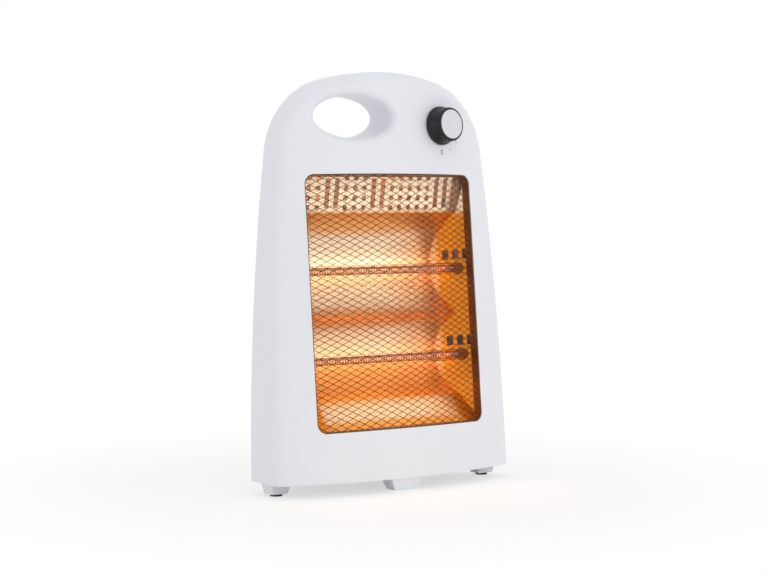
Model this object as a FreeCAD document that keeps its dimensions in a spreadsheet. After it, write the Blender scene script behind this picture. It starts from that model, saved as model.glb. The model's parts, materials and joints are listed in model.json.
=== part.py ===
"""Two-tube quartz heater: a bowed, leaning front with a guarded window, a handle hole and a dial.

Frame: origin on the floor under the middle of the body, +X to the viewer's right, +Y to the back, +Z up.
The front face leans back. Everything that belongs to it is modelled upright in the face frame, whose
origin is the lower front edge (x across, y into the body, z up along the face), and is then leaned.
"""
import FreeCAD
import Part
import Sketcher
import math
import os

V = FreeCAD.Vector
X_AXIS = V(1, 0, 0)
Y_AXIS = V(0, 1, 0)
Z_AXIS = V(0, 0, 1)

SIZES = {
    # Body
    "body_width": 259.0,
    "body_height": 365.0,
    "body_depth": 108.0,
    "foot_height": 12.0,
    "wall": 2.5,
    "front_lean": 5.47,
    "front_bow_depth": 22.068,
    "top_rise": 39.9217,
    "shoulder_radius": 75.0,
    "side_radius": 2400.0,
    "widest_height": 33.0,
    "edge_radius": 12.0,
    "parting_depth": 62.0,
    "rim_depth": 6.5,
    "rim_radius": 4.0,
    "hump_side_margin": 23.5,
    "hump_top_margin": 79.0,
    "hump_corner": 40.0,
    "hump_taper": 24.0,
    "louvre_side_margin": 14.5,
    "louvre_height": 4.0,
    "louvre_end_radius": 1.8,
    "louvre_pitch": 11.0,
    "louvre_rows": 9,
    "louvre_bottom": 90.0,
    # Window and guard
    "window_side_margin": 38.0,
    "window_top_margin": 90.8,
    "window_bottom": 44.8,
    "window_corner": 9.0,
    "guard_gap": 0.4,
    "guard_sheet": 0.8,
    "guard_recess": 0.8,
    "guard_wire": 1.2,
    "guard_cell_width": 27.0,
    "guard_cell_height": 12.0,
    "flange_depth": 20.0,
    "flange_width": 9.0,
    "flange_screw_out": 5.4,
    # Handle
    "handle_side_margin": 52.5,
    "handle_end_x": 1.0,
    "handle_drop": 41.7,
    "handle_height": 38.0,
    "handle_rim_radius": 7.0,
    "handle_wall": 5.0,
    # Reflector and tubes
    "sheet": 0.8,
    "reflector_depth": 31.0,
    "strip_height": 33.0,
    "strip_depth": 9.0,
    "ridge_depth": 13.0,
    "fold_height": 27.0,
    "fold_depth": 14.0,
    "end_gap": 4.0,
    "end_splay": 25.5,
    "end_slot_width": 4.6,
    "end_slot_height": 9.0,
    "end_slot_pitch": 7.4,
    "end_slot_rise": 8.5,
    "perforation_diameter": 5.2,
    "perforation_pitch": 10.1,
    "perforation_row": 8.8,
    "perforation_shift": -3.0,
    "slot_width": 5.0,
    "tube_diameter": 11.0,
    "tube_bore": 9.0,
    "tube_depth": 31.5,
    "upper_tube_share": 0.62685,
    "lower_tube_share": 0.27505,
    "tube_overhang": 11.0,
    "tube_clearance": 0.25,
    "cap_diameter": 17.0,
    "cap_length": 16.0,
    "cap_clearance": 0.05,
    "terminal_diameter": 3.0,
    "terminal_length": 8.0,
    "coil_diameter": 6.4,
    "coil_wire": 0.9,
    "coil_turns": 16,
    "coil_lead_bend": 9.0,
    "coil_margin": 23.0,
    "cutout_diameter": 12.0,
    "cutout_length": 7.0,
    # Knob and switch
    "knob_side_margin": 73.8,
    "knob_drop": 46.2,
    "knob_base_diameter": 35.6,
    "knob_skirt": 2.6,
    "knob_rim_diameter": 30.6,
    "knob_length": 15.0,
    "knob_gap": 0.5,
    "knob_wall": 3.6,
    "cap_disc_diameter": 26.6,
    "cap_disc_thickness": 1.2,
    "shaft_diameter": 6.0,
    "shaft_clearance": 0.05,
    "switch_diameter": 27.0,
    "switch_length": 15.0,
    "switch_screw_spacing": 19.0,
    # Tip-over plunger and its switch
    "plunger_setback": 6.5,
    "plunger_width": 36.0,
    "plunger_depth": 20.0,
    "plunger_tip_width": 23.5,
    "plunger_tip_depth": 12.0,
    "plunger_travel": 6.0,
    "plunger_clearance": 0.4,
    "plunger_lip": 3.0,
    "plunger_flange": 2.0,
    "post_diameter": 6.0,
    "spring_diameter": 10.0,
    "spring_wire": 1.0,
    "spring_length": 15.2,
    "spring_turns": 5,
    "bracket_sheet": 1.5,
    "bracket_width": 60.0,
    "bracket_tab": 11.0,
    "micro_width": 20.0,
    "micro_depth": 6.4,
    "micro_height": 10.0,
    "button_diameter": 3.0,
    "button_gap": 0.3,
    # Base, feet, gland and screws
    "base_recess": 2.0,
    "base_gap": 0.4,
    "front_foot_inset": 14.5,
    "front_foot_y": -7.0,
    "rear_foot_inset": 38.0,
    "rear_foot_y": 40.0,
    "foot_width": 22.0,
    "foot_length": 18.0,
    "foot_tip_width": 16.0,
    "foot_tip_length": 13.0,
    "pad_diameter": 11.0,
    "pad_thickness": 2.0,
    "gland_side_margin": 22.0,
    "gland_up": 30.0,
    "gland_diameter": 13.0,
    "gland_bore": 7.0,
    "gland_flange": 2.5,
    "screw_diameter": 3.0,
    "screw_head_diameter": 6.0,
    "screw_head_height": 2.0,
    "screw_length": 12.0,
    "short_screw_length": 8.0,
    "screw_clearance": 0.1,
    "boss_diameter": 9.0,
    "boss_inset": 2.0,
    "shell_screw_inset": 12.0,
    "middle_screw_drop": 132.0,
    "upper_screw_drop": 41.0,
    "seat_gap": 0.1,
}

# Lengths that follow from the sizes
FOLLOWING = {
    "hump_width": "body_width - 2 * hump_side_margin",
    "hump_height": "body_height - hump_top_margin",
    "window_width": "body_width - 2 * window_side_margin",
    "window_height": "body_height - window_bottom - window_top_margin",
    "louvre_length": "hump_width / 2 - hump_taper - louvre_side_margin - louvre_pitch / 2",
    "gland_x": "hump_width / 2 - hump_taper - gland_side_margin",
    "handle_x": "( handle_end_x + handle_side_margin - body_width / 2 ) / 2",
    "handle_width": "body_width / 2 - handle_side_margin + handle_end_x",
    "handle_height_up": "body_height - handle_drop",
    "knob_x": "body_width / 2 - knob_side_margin",
    "knob_height_up": "body_height - knob_drop",
    "upper_tube_height": "window_bottom + window_height * upper_tube_share",
    "lower_tube_height": "window_bottom + window_height * lower_tube_share",
    "coil_length": "window_width - coil_margin",
    "front_foot_x": "body_width / 2 - front_foot_inset",
    "rear_foot_x": "hump_width / 2 - rear_foot_inset",
}

doc = FreeCAD.newDocument("quartz_heater")
sheet = doc.addObject("Spreadsheet::Sheet", "Sizes")
for row, (alias, value) in enumerate(SIZES.items(), start=1):
    sheet.set(f"A{row}", alias)
    sheet.set(f"B{row}", str(value))
    sheet.setAlias(f"B{row}", alias)
doc.recompute()

nodes = {}


def size(expression):
    """Value of an expression whose words are sizes of the sheet."""
    return float(sheet.evalExpression(bound(expression)))


def bound(expression):
    """Expression with each size of the sheet named in full."""
    words = []
    for word in expression.replace("(", " ( ").replace(")", " ) ").split():
        if word in FOLLOWING:
            word = f"( {bound(FOLLOWING[word])} )"
        elif word in SIZES:
            word = f"Sizes.{word}"
        words.append(word)
    return " ".join(words)


def node(label, obj, placement=None):
    """Makes an object a sub-part under its own name."""
    obj.Label = label
    if placement is not None:
        obj.Placement = placement
    nodes[label] = obj
    return obj


def modelled(label, shape, placement=None):
    """A sub-part whose form is worked out from the sizes."""
    feature = doc.addObject("Part::Feature", label)
    feature.Shape = shape
    return node(label, feature, placement)


def primitive(kind, name, placement, **sizes):
    """A Part primitive whose sizes are bound to the sheet."""
    solid = doc.addObject("Part::" + kind, name)
    solid.Placement = placement
    for key, expression in sizes.items():
        solid.setExpression(key, bound(expression))
    return solid


def cut(name, base, *tools):
    """The base less every tool."""
    for count, tool in enumerate(tools):
        result = doc.addObject("Part::Cut", f"{name}_cut{count}")
        result.Base = base
        result.Tool = tool
        base = result
    return base


def fuse(name, *solids):
    """Several solids made one."""
    result = doc.addObject("Part::MultiFuse", name + "_fused")
    result.Shapes = list(solids)
    return result


def group(name, solids):
    """Loose solids that share one sub-part."""
    result = doc.addObject("Part::Compound", name + "_group")
    result.Links = list(solids)
    return result


def profile(body, plane, corners):
    """Closed sketch of straight lines whose corners are bound to the sheet."""
    sketch = body.newObject("Sketcher::SketchObject", body.Name + "_profile")
    support = [plane_ for plane_ in body.Origin.OriginFeatures if plane_.Role == plane][0]
    sketch.AttachmentSupport = [(support, "")]
    sketch.MapMode = "FlatFace"
    points = [V(size(a), size(b), 0) for a, b in corners]
    count = len(points)
    for i in range(count):
        sketch.addGeometry(Part.LineSegment(points[i], points[(i + 1) % count]), False)
    for i in range(count):
        sketch.addConstraint(Sketcher.Constraint("Coincident", i, 2, (i + 1) % count, 1))
    for i, (a, b) in enumerate(corners):
        for kind, expression in (("DistanceX", a), ("DistanceY", b)):
            index = sketch.addConstraint(Sketcher.Constraint(kind, -1, 1, i, 1, size(expression)))
            sketch.setExpression(f"Constraints[{index}]", bound(expression))
    return sketch


def turned(label, corners, placement):
    """A turned piece: its half section (radius, height) spun about its own Z axis."""
    body = doc.addObject("PartDesign::Body", label)
    sketch = profile(body, "XZ_Plane", corners)
    doc.recompute()
    turn = body.newObject("PartDesign::Revolution", label + "_turn")
    turn.Profile = sketch
    turn.ReferenceAxis = (sketch, ["V_Axis"])
    turn.Angle = 360
    return node(label, body, placement)


def at(x, y, z, axis=Z_AXIS):
    """Place with the local Z axis along the given axis."""
    return FreeCAD.Placement(V(x, y, z), FreeCAD.Rotation(Z_AXIS, axis))


# Main lines of the body, worked out from the sizes
HALF_DEPTH = size("body_depth / 2")
FLOOR_TO_BODY = size("foot_height")
TOP = size("foot_height + body_height")
WALL = size("wall")
PARTING_Y = size("parting_depth - body_depth / 2")
RIM_Y = PARTING_Y + size("rim_depth")
BOW_DEPTH = size("front_bow_depth")
BOW = (size("body_width / 2") ** 2 + BOW_DEPTH ** 2) / (2 * BOW_DEPTH)
TOP_RISE = size("top_rise")
TOP_ARC = round((size("body_width / 2") ** 2 + TOP_RISE ** 2) / (2 * TOP_RISE), 3)
LEAN = FreeCAD.Placement(V(0, -HALF_DEPTH, FLOOR_TO_BODY), FreeCAD.Rotation(X_AXIS, -size("front_lean")))
REACH = size("body_height + body_depth")


def bow(x, depth=0.0):
    """Depth of the bowed front in the face frame, or of a surface that far behind it."""
    return BOW - math.sqrt((BOW - depth) ** 2 - x * x)


def arc(start, middle, end):
    """Edge of the arc through three points."""
    return Part.Arc(start, middle, end).toShape()


def line(start, end):
    """Straight edge."""
    return Part.LineSegment(start, end).toShape()


def arch_face(inset=0.0, drop=0.0):
    """Outline of the body seen from the front: long side arcs, round shoulders and a flat top arc."""
    top_r = TOP_ARC
    side_r = size("side_radius")
    shoulder_r = size("shoulder_radius")
    top_c = V(0, 0, TOP - top_r)
    side_c = V(size("body_width / 2") - side_r, 0, FLOOR_TO_BODY + size("widest_height"))
    # The shoulder's centre lies inside the top arc and inside the side arc
    span = top_c - side_c
    a = side_r - shoulder_r
    b = top_r - shoulder_r
    along = (a * a - b * b + span.dot(span)) / (2 * span.Length)
    across = math.sqrt(a * a - along * along)
    unit = V(span).normalize()
    shoulder_c = side_c + unit * along + V(-unit.z, 0, unit.x) * across
    bottom = FLOOR_TO_BODY - drop
    side_r -= inset
    top_r -= inset
    shoulder_r -= inset

    def on(centre, radius, towards):
        return centre + (towards - centre).normalize() * radius

    foot_x = side_c.x + math.sqrt(side_r ** 2 - (bottom - side_c.z) ** 2)
    foot = V(foot_x, 0, bottom)
    side_end = on(side_c, side_r, shoulder_c)
    top_end = on(top_c, top_r, shoulder_c)
    side_mid = on(side_c, side_r, (foot + side_end) * 0.5)
    shoulder_mid = on(shoulder_c, shoulder_r, (side_end + top_end) * 0.5)

    def flip(p):
        return V(-p.x, p.y, p.z)

    edges = [
        line(flip(foot), foot),
        arc(foot, side_mid, side_end),
        arc(side_end, shoulder_mid, top_end),
        arc(top_end, V(0, 0, TOP - inset), flip(top_end)),
        arc(flip(top_end), flip(shoulder_mid), flip(side_end)),
        arc(flip(side_end), flip(side_mid), flip(foot)),
    ]
    return Part.Face(Part.Wire(edges))


def slab(face, y_from, y_to):
    """A face of the front view given depth between two planes."""
    moved = face.copy()
    moved.translate(V(0, y_from, 0))
    return moved.extrude(V(0, y_to - y_from, 0))


def behind_front(depth=0.0):
    """Everything behind the bowed, leaning front, or behind a surface that far inside it."""
    half = size("body_width")
    edges = [
        arc(V(-half, bow(half, depth), 0), V(0, depth, 0), V(half, bow(half, depth), 0)),
        line(V(half, bow(half, depth), 0), V(half, REACH, 0)),
        line(V(half, REACH, 0), V(-half, REACH, 0)),
        line(V(-half, REACH, 0), V(-half, bow(half, depth), 0)),
    ]
    solid = Part.Face(Part.Wire(edges)).extrude(V(0, 0, 2 * REACH))
    solid.translate(V(0, 0, -REACH / 2))
    return solid


def leaned(shape):
    """Shape of the face frame, moved to its place on the body."""
    moved = shape.copy()
    moved.Placement = LEAN.multiply(moved.Placement)
    return moved


def front_edges(solid, depth=0.0):
    """Edges of a solid that lie on the bowed front, or that far behind it, above the lower edge."""
    found = []
    for edge in solid.Edges:
        middle = edge.valueAt((edge.FirstParameter + edge.LastParameter) / 2)
        local = LEAN.inverse().multVec(middle)
        on_front = abs(local.y - bow(local.x, depth)) < 0.01
        if on_front and middle.z > FLOOR_TO_BODY + 0.5:
            found.append(edge)
    return found


def handle_face(grow=0.0):
    """The handle's oval, seen from the front."""
    centre = V(size("handle_x"), 0, FLOOR_TO_BODY + size("handle_height_up"))
    half_wide = size("handle_width / 2") + grow
    half_tall = size("handle_height / 2") + grow
    oval = Part.Ellipse(V(0, 0, 0), half_wide, half_tall).toShape()
    face = Part.Face(Part.Wire(oval))
    face.rotate(V(0, 0, 0), X_AXIS, 90)
    face.translate(centre)
    return face


def front_block(inset=0.0, drop=0.0, y_to=PARTING_Y):
    """Solid form of the front half, moved inwards by the inset."""
    block = slab(arch_face(inset, drop), -HALF_DEPTH - REACH, y_to).common(leaned(behind_front(inset)))
    return block.makeFillet(size("edge_radius") - inset, front_edges(block, inset))


def hump_wire(inset, y, drop=0.0):
    """Outline of the deep part of the back at one depth."""
    half = size("hump_width / 2") - inset
    top = FLOOR_TO_BODY + size("hump_height") - inset
    low = FLOOR_TO_BODY - drop
    r = size("hump_corner")
    k = r * (1 - math.sqrt(0.5))
    points = [V(-half, y, low), V(half, y, low), V(half, y, top - r), V(half - r, y, top),
              V(r - half, y, top), V(-half, y, top - r)]
    return Part.Wire([
        line(points[0], points[1]),
        line(points[1], points[2]),
        arc(points[2], V(half - k, y, top - k), points[3]),
        line(points[3], points[4]),
        arc(points[4], V(k - half, y, top - k), points[5]),
        line(points[5], points[0]),
    ])


def rear_block(inset=0.0, drop=0.0, y_from=PARTING_Y):
    """Solid form of the back half: a shallow rim with a round edge and a tapered hump."""
    rim = slab(arch_face(inset, drop), y_from, RIM_Y - inset)
    corner = [e for e in rim.Edges
              if e.BoundBox.YMin > RIM_Y - inset - 0.01 and e.BoundBox.ZMax > FLOOR_TO_BODY + 0.5]
    rim = rim.makeFillet(max(size("rim_radius") - inset, 1.0), corner)
    start = RIM_Y - inset - WALL / 2
    end = HALF_DEPTH - inset
    # The hump's sides slope, so the wall's inner face is set in by the same taper
    foot = hump_wire(inset, start, drop)
    crown = hump_wire(inset + size("hump_taper"), end, drop)
    return rim.fuse(Part.makeLoft([foot, crown], True, True))


def post(x, z, y_from, y_to, diameter):
    """Round post or bore along Y."""
    return Part.makeCylinder(diameter / 2, y_to - y_from, V(x, y_from, z), Y_AXIS)


def half_width(height):
    """Half the body's width at a height above its lower edge."""
    level = FLOOR_TO_BODY + height
    return line(V(0, 0, level), V(REACH, 0, level)).common(arch_face()).Length


def window_face(grow=0.0):
    """The window's rounded outline in the face frame, in the plane of its lower front edge."""
    half = size("window_width / 2") + grow
    low = size("window_bottom") - grow
    high = size("window_bottom + window_height") + grow
    r = max(size("window_corner") + grow, 1.0)
    k = r * (1 - math.sqrt(0.5))
    return Part.Face(Part.Wire([
        line(V(r - half, 0, low), V(half - r, 0, low)),
        arc(V(half - r, 0, low), V(half - k, 0, low + k), V(half, 0, low + r)),
        line(V(half, 0, low + r), V(half, 0, high - r)),
        arc(V(half, 0, high - r), V(half - k, 0, high - k), V(half - r, 0, high)),
        line(V(half - r, 0, high), V(r - half, 0, high)),
        arc(V(r - half, 0, high), V(k - half, 0, high - k), V(-half, 0, high - r)),
        line(V(-half, 0, high - r), V(-half, 0, low + r)),
        arc(V(-half, 0, low + r), V(k - half, 0, low + k), V(r - half, 0, low)),
    ]))


# Screw places: shells from the back, reflector from behind its flange, base from below
PILOT_D = size("screw_diameter + 2 * screw_clearance")
BOSS_D = size("boss_diameter")
SHELL_SCREWS = []
for level in ("widest_height", "body_height - middle_screw_drop", "body_height - upper_screw_drop"):
    height = size(level)
    reach = half_width(height) - size("shell_screw_inset")
    SHELL_SCREWS += [(-reach, FLOOR_TO_BODY + height), (reach, FLOOR_TO_BODY + height)]
REFLECTOR_SCREWS = []
for level in ("window_bottom - flange_screw_out", "window_bottom + window_height + flange_screw_out"):
    for side in (-1, 1):
        REFLECTOR_SCREWS.append((side * size("window_width / 2 - window_corner"), size(level)))
BASE_BOTTOM = size("foot_height + base_recess")
BASE_TOP = BASE_BOTTOM + WALL
FRONT_BASE_X = size("front_foot_x * 3 / 4")
FRONT_BASE_Y = bow(FRONT_BASE_X) + size("boss_inset + boss_diameter / 2 - body_depth / 2")
REAR_BASE_X = size("rear_foot_x / 2")
REAR_BASE_Y = size("body_depth / 2 - boss_inset - boss_diameter / 2")
BASE_SCREWS = [(-FRONT_BASE_X, FRONT_BASE_Y), (FRONT_BASE_X, FRONT_BASE_Y),
               (-REAR_BASE_X, REAR_BASE_Y), (REAR_BASE_X, REAR_BASE_Y)]
BASE_BOSS_LENGTH = size("screw_length + wall")

# The knob's frame on the face: X along the face, Y up, Z outwards
KNOB_TURN = math.asin(size("knob_x") / BOW)
KNOB_X = V(math.cos(KNOB_TURN), math.sin(KNOB_TURN), 0)
KNOB_OUT = V(math.sin(KNOB_TURN), -math.cos(KNOB_TURN), 0)
KNOB = LEAN.multiply(FreeCAD.Placement(V(size("knob_x"), bow(size("knob_x")), size("knob_height_up")),
                                       FreeCAD.Rotation(KNOB_X, Z_AXIS, KNOB_OUT, "ZXY")))


def on_knob(x, y, z, axis=Z_AXIS):
    """Place in the knob's frame."""
    return KNOB.multiply(at(x, y, z, axis))


def bore(placement, diameter, length):
    """Round cutter along the local Z axis."""
    tool = Part.makeCylinder(diameter / 2, length)
    tool.Placement = placement
    return tool


# Front shell: moulded skin, handle collar, screw posts, window
outer = front_block()
hole = slab(handle_face(), -HALF_DEPTH - REACH, HALF_DEPTH + REACH)
outer = outer.cut(hole)
rim_box = handle_face(WALL).BoundBox
rim_edges = [e for e in front_edges(outer)
             if rim_box.XMin < e.BoundBox.XMin and e.BoundBox.XMax < rim_box.XMax
             and rim_box.ZMin < e.BoundBox.ZMin]
outer = outer.makeFillet(size("handle_rim_radius"), rim_edges)
skin = outer.cut(front_block(WALL, FLOOR_TO_BODY, PARTING_Y + WALL))
collar = slab(handle_face(size("handle_wall")), -HALF_DEPTH, PARTING_Y)
posts = [post(x, z, -HALF_DEPTH, PARTING_Y, BOSS_D) for x, z in SHELL_SCREWS]
flange_posts = [leaned(post(x, z, 0, size("flange_depth"), BOSS_D)) for x, z in REFLECTOR_SCREWS]
base_posts = [bore(at(x, y, BASE_TOP), BOSS_D, BASE_BOSS_LENGTH) for x, y in BASE_SCREWS]
window = leaned(slab(window_face(), -REACH, REACH))
core = front_block(WALL / 2)
posts += flange_posts + base_posts[:2]
front_shell = skin.fuse([collar.common(outer)] + [p.common(core) for p in posts])
drills = [post(x, z, PARTING_Y - size("screw_length"), PARTING_Y, PILOT_D) for x, z in SHELL_SCREWS]
drills += [leaned(post(x, z, size("flange_depth - short_screw_length"), size("flange_depth"), PILOT_D))
           for x, z in REFLECTOR_SCREWS]
drills += [bore(at(x, y, BASE_TOP), PILOT_D, size("screw_length")) for x, y in BASE_SCREWS[:2]]
SWITCH_FRONT = -WALL - size("switch_diameter") ** 2 / 8 / BOW - size("seat_gap")
drills.append(bore(on_knob(0, 0, -2 * WALL), size("shaft_diameter + wall"), 4 * WALL))
for side in (-1, 1):
    drills.append(bore(on_knob(side * size("switch_screw_spacing / 2"), 0, -2 * WALL), PILOT_D, 4 * WALL))
front_shell = front_shell.cut([window, hole] + drills)
modelled("front_shell", front_shell)

# Rear shell: rim, hump, louvres, handle collar and screw posts
rear = rear_block().cut(hole)
rear_skin = rear.cut(rear_block(WALL, FLOOR_TO_BODY, PARTING_Y - WALL))
rear_collar = slab(handle_face(size("handle_wall")), PARTING_Y, RIM_Y)
rear_posts = [post(x, z, PARTING_Y, RIM_Y, BOSS_D) for x, z in SHELL_SCREWS]
rear_core = rear_block(WALL / 2)
rear_shell = rear_skin.fuse([p.common(rear_core) for p in [rear_collar] + rear_posts + base_posts[2:]])
cuts = [hole]
cuts += [post(x, z, PARTING_Y, HALF_DEPTH, PILOT_D) for x, z in SHELL_SCREWS]
cuts += [bore(at(x, y, BASE_TOP), PILOT_D, size("screw_length")) for x, y in BASE_SCREWS[2:]]
cuts.append(post(size("gland_x"), FLOOR_TO_BODY + size("gland_up"), PARTING_Y, HALF_DEPTH + WALL,
                 size("gland_diameter + 2 * screw_clearance")))
for row in range(int(size("louvre_rows"))):
    low = FLOOR_TO_BODY + size("louvre_bottom") + row * size("louvre_pitch")
    for side in (-1, 1):
        centre_x = side * size("louvre_length / 2 + louvre_pitch / 2")
        slot = Part.makeBox(size("louvre_length"), 2 * WALL, size("louvre_height"),
                            V(centre_x - size("louvre_length / 2"), HALF_DEPTH - 1.5 * WALL, low))
        ends = [e for e in slot.Edges if e.BoundBox.YLength > WALL]
        cuts.append(slot.makeFillet(size("louvre_end_radius"), ends))
rear_shell = rear_shell.cut(cuts)
modelled("rear_shell", rear_shell.removeSplitter())


def frustum(x, y, z_low, z_high, low, high):
    """Upright four-sided taper between two rectangles, each (width, depth)."""
    rings = []
    for z, (wide, deep) in ((z_low, low), (z_high, high)):
        corners = [V(x + a * wide / 2, y + b * deep / 2, z) for a, b in ((-1, -1), (1, -1), (1, 1), (-1, 1))]
        rings.append(Part.makePolygon(corners + corners[:1]))
    return Part.makeLoft(rings, True, True)


def screws(label, places, length, head_height="screw_head_height"):
    """A set of equal screws: each place is under the head, its Z axis out of the head."""
    solids = []
    for count, place in enumerate(places):
        name = f"{label}_{count}"
        head = primitive("Cylinder", name + "_head", place,
                         Radius="screw_head_diameter / 2", Height=head_height)
        shank_place = place.multiply(FreeCAD.Placement(V(0, 0, -size(length)), FreeCAD.Rotation()))
        shank = primitive("Cylinder", name + "_shank", shank_place,
                          Radius="screw_diameter / 2", Height=length)
        solids.append(fuse(name, head, shank))
    return node(label, group(label, solids))


# Base plate with tapered feet, the plunger's opening and screw holes
PLUNGER_Y = size("plunger_setback + plunger_depth / 2 - body_depth / 2")
BRACKET_SCREW_X = size("bracket_width / 2 + bracket_tab / 2")
FEET = [(side * size(name + "_foot_x"), size(name + "_foot_y"))
        for name in ("front", "rear") for side in (-1, 1)]
BASE_INSET = size("wall + base_gap")
inside = front_block(BASE_INSET, FLOOR_TO_BODY).fuse(rear_block(BASE_INSET, FLOOR_TO_BODY))
plate = inside.common(Part.makeBox(2 * REACH, 2 * REACH, WALL, V(-REACH, -REACH, BASE_BOTTOM)))
feet = [frustum(x, y, size("pad_thickness"), BASE_BOTTOM, (size("foot_tip_width"), size("foot_tip_length")),
                (size("foot_width"), size("foot_length"))) for x, y in FEET]
OPENING = (size("plunger_width + 2 * plunger_clearance"), size("plunger_depth + 2 * plunger_clearance"))
openings = [frustum(0, PLUNGER_Y, 0, BASE_TOP + WALL, OPENING, OPENING)]
BRACKET_SCREWS = [(side * BRACKET_SCREW_X, PLUNGER_Y) for side in (-1, 1)]
openings += [bore(at(x, y, 0), PILOT_D, BASE_TOP + WALL) for x, y in BASE_SCREWS + BRACKET_SCREWS]
modelled("base_plate", plate.fuse(feet).cut(openings))
pads = [primitive("Cylinder", f"pad_{i}", at(x, y, 0), Radius="pad_diameter / 2", Height="pad_thickness")
        for i, (x, y) in enumerate(FEET)]
node("foot_pads", group("foot_pads", pads))

# Guard: a tray frame behind the window's edge and a net of crossing wires bent to the front's bow
GUARD_IN = size("guard_gap + guard_sheet")
FLANGE_BACK = size("flange_depth + guard_sheet")
ring = slab(window_face(-size("guard_gap")), 0, FLANGE_BACK).common(behind_front(size("guard_recess")))
flange = slab(window_face(size("flange_width")), size("flange_depth"), FLANGE_BACK)
frame_holes = [post(x, z, 0, REACH, PILOT_D) for x, z in REFLECTOR_SCREWS]
guard_frame = ring.fuse(flange).cut([slab(window_face(-GUARD_IN), 0, REACH)] + frame_holes)
modelled("guard_frame", guard_frame, LEAN)

WIRE = size("guard_wire")
net_face = window_face(-GUARD_IN - size("cap_clearance"))
net_inner = window_face(-GUARD_IN - WIRE)
CELL_W = size("guard_cell_width")
CELL_H = size("guard_cell_height")
# Each gap is the diamond between the wires' middle lines, drawn in by half a wire
shrink = 1 - WIRE * math.hypot(CELL_W, CELL_H) / (CELL_W * CELL_H)
gaps = []
columns = int(size("window_width") / CELL_W) + 2
rows = int(size("window_height") / CELL_H) + 2
for column in range(-columns, columns + 1):
    for row in range(2 * rows):
        if (column + row) % 2:
            continue
        x = column * CELL_W / 2
        z = size("window_bottom") + row * CELL_H / 2
        corners = [V(x + a * shrink * CELL_W / 2, 0, z + b * shrink * CELL_H / 2)
                   for a, b in ((1, 0), (0, 1), (-1, 0), (0, -1))]
        gap = Part.Face(Part.makePolygon(corners + corners[:1])).common(net_inner)
        if gap.Area > WIRE * CELL_H:
            gaps.append(gap)
holed = net_face.cut(gaps)
bent = behind_front(size("guard_recess")).cut(behind_front(size("guard_recess + guard_wire")))
net = slab(holed, -WIRE, size("flange_depth")).common(bent)
print("guard gaps", len(gaps))
modelled("guard_mesh", net, LEAN)

# Reflector: one folded sheet with a hollow behind each tube
W_TOP = size("window_bottom + window_height")
W_LOW = size("window_bottom")
END_X = size("window_width / 2 + end_gap")
PLATE_X = END_X + size("sheet")
TUBE_Y = size("tube_depth")
TUBES = {"upper": size("upper_tube_height"), "lower": size("lower_tube_height")}
DEEP = size("flange_depth + reflector_depth")
THICK = V(0, size("sheet"), 0)
hem_top = V(0, FLANGE_BACK, W_TOP + WALL)
strip_end = V(0, FLANGE_BACK + size("strip_depth"), W_TOP - size("strip_height"))
ridge = V(0, FLANGE_BACK + size("ridge_depth"), (TUBES["upper"] + TUBES["lower"]) / 2)
fold = V(0, FLANGE_BACK + size("fold_depth"), W_LOW + size("fold_height"))
hem_low = V(0, FLANGE_BACK, W_LOW + WALL)


def hollows(shift):
    """Line of the folded sheet between its two hems."""
    upper = V(0, DEEP, TUBES["upper"]) + shift
    lower = V(0, DEEP, TUBES["lower"]) + shift
    return [line(hem_top + shift, strip_end + shift), arc(strip_end + shift, upper, ridge + shift),
            arc(ridge + shift, lower, fold + shift), line(fold + shift, hem_low + shift)]


top_edge = V(0, FLANGE_BACK, W_TOP + size("flange_width"))
low_edge = V(0, FLANGE_BACK, W_LOW - size("flange_width"))
section = [line(top_edge, hem_top)] + hollows(V(0, 0, 0))
section += [line(hem_low, low_edge), line(low_edge, low_edge + THICK)]
section += [line(low_edge + THICK, hem_low + THICK)] + hollows(THICK)[::-1]
section += [line(hem_top + THICK, top_edge + THICK), line(top_edge + THICK, top_edge)]


def end_x(y):
    """Outer face of the splayed end plates: furthest out at the flange, drawn in at the deepest line."""
    return PLATE_X - size("end_splay") * (y - FLANGE_BACK) / (DEEP - FLANGE_BACK)


def across(edges):
    """A closed section in the face frame's YZ plane, swept over more than the reflector's length."""
    solid = Part.Face(Part.Wire(Part.__sortEdges__(edges))).extrude(V(2 * REACH, 0, 0))
    solid.translate(V(-REACH, 0, 0))
    return solid


def between(left, right):
    """Everything between two splayed upright planes, each given as its distances at two depths."""
    near, far = FLANGE_BACK, DEEP + BOSS_D
    corners = [V(left(near), near, 0), V(right(near), near, 0), V(right(far), far, 0), V(left(far), far, 0)]
    return Part.Face(Part.makePolygon(corners + corners[:1])).extrude(V(0, 0, REACH))


SLANT = math.hypot(size("end_splay"), DEEP - FLANGE_BACK)
SHEET_X = size("sheet") * SLANT / (DEEP - FLANGE_BACK)
folded = across(section).common(between(lambda y: -end_x(y), end_x))
PITCH = size("perforation_pitch")
HOLE_D = size("perforation_diameter")
strip_mid = (hem_top.z + strip_end.z) / 2
punches = [post(x, z, 0, REACH, PILOT_D) for x, z in REFLECTOR_SCREWS]
# Columns of the strip from left to right: o is a column of round holes, | a tall slot
STRIP = "ooo||ooo||ooooo|||"
ROWS = 4
ROW_PITCH = size("perforation_row")
for column, mark in enumerate(STRIP):
    x = size("perforation_shift") + (column - (len(STRIP) - 1) / 2) * PITCH
    if abs(x) + HOLE_D / 2 > end_x(strip_end.y) - SHEET_X:
        continue
    tall = (ROWS - 1) * ROW_PITCH
    if mark == "|":
        punches.append(Part.makeBox(size("slot_width"), REACH, tall,
                                    V(x - size("slot_width / 2"), 0, strip_mid - tall / 2)))
    else:
        punches += [post(x, strip_mid - tall / 2 + row * ROW_PITCH, 0, REACH, HOLE_D) for row in range(ROWS)]
modelled("reflector", folded.cut(punches), LEAN)
trough = hollows(V(0, -size("seat_gap"), 0))
rim_top = trough[0].valueAt(trough[0].FirstParameter)
rim_low = trough[-1].valueAt(trough[-1].LastParameter)
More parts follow.
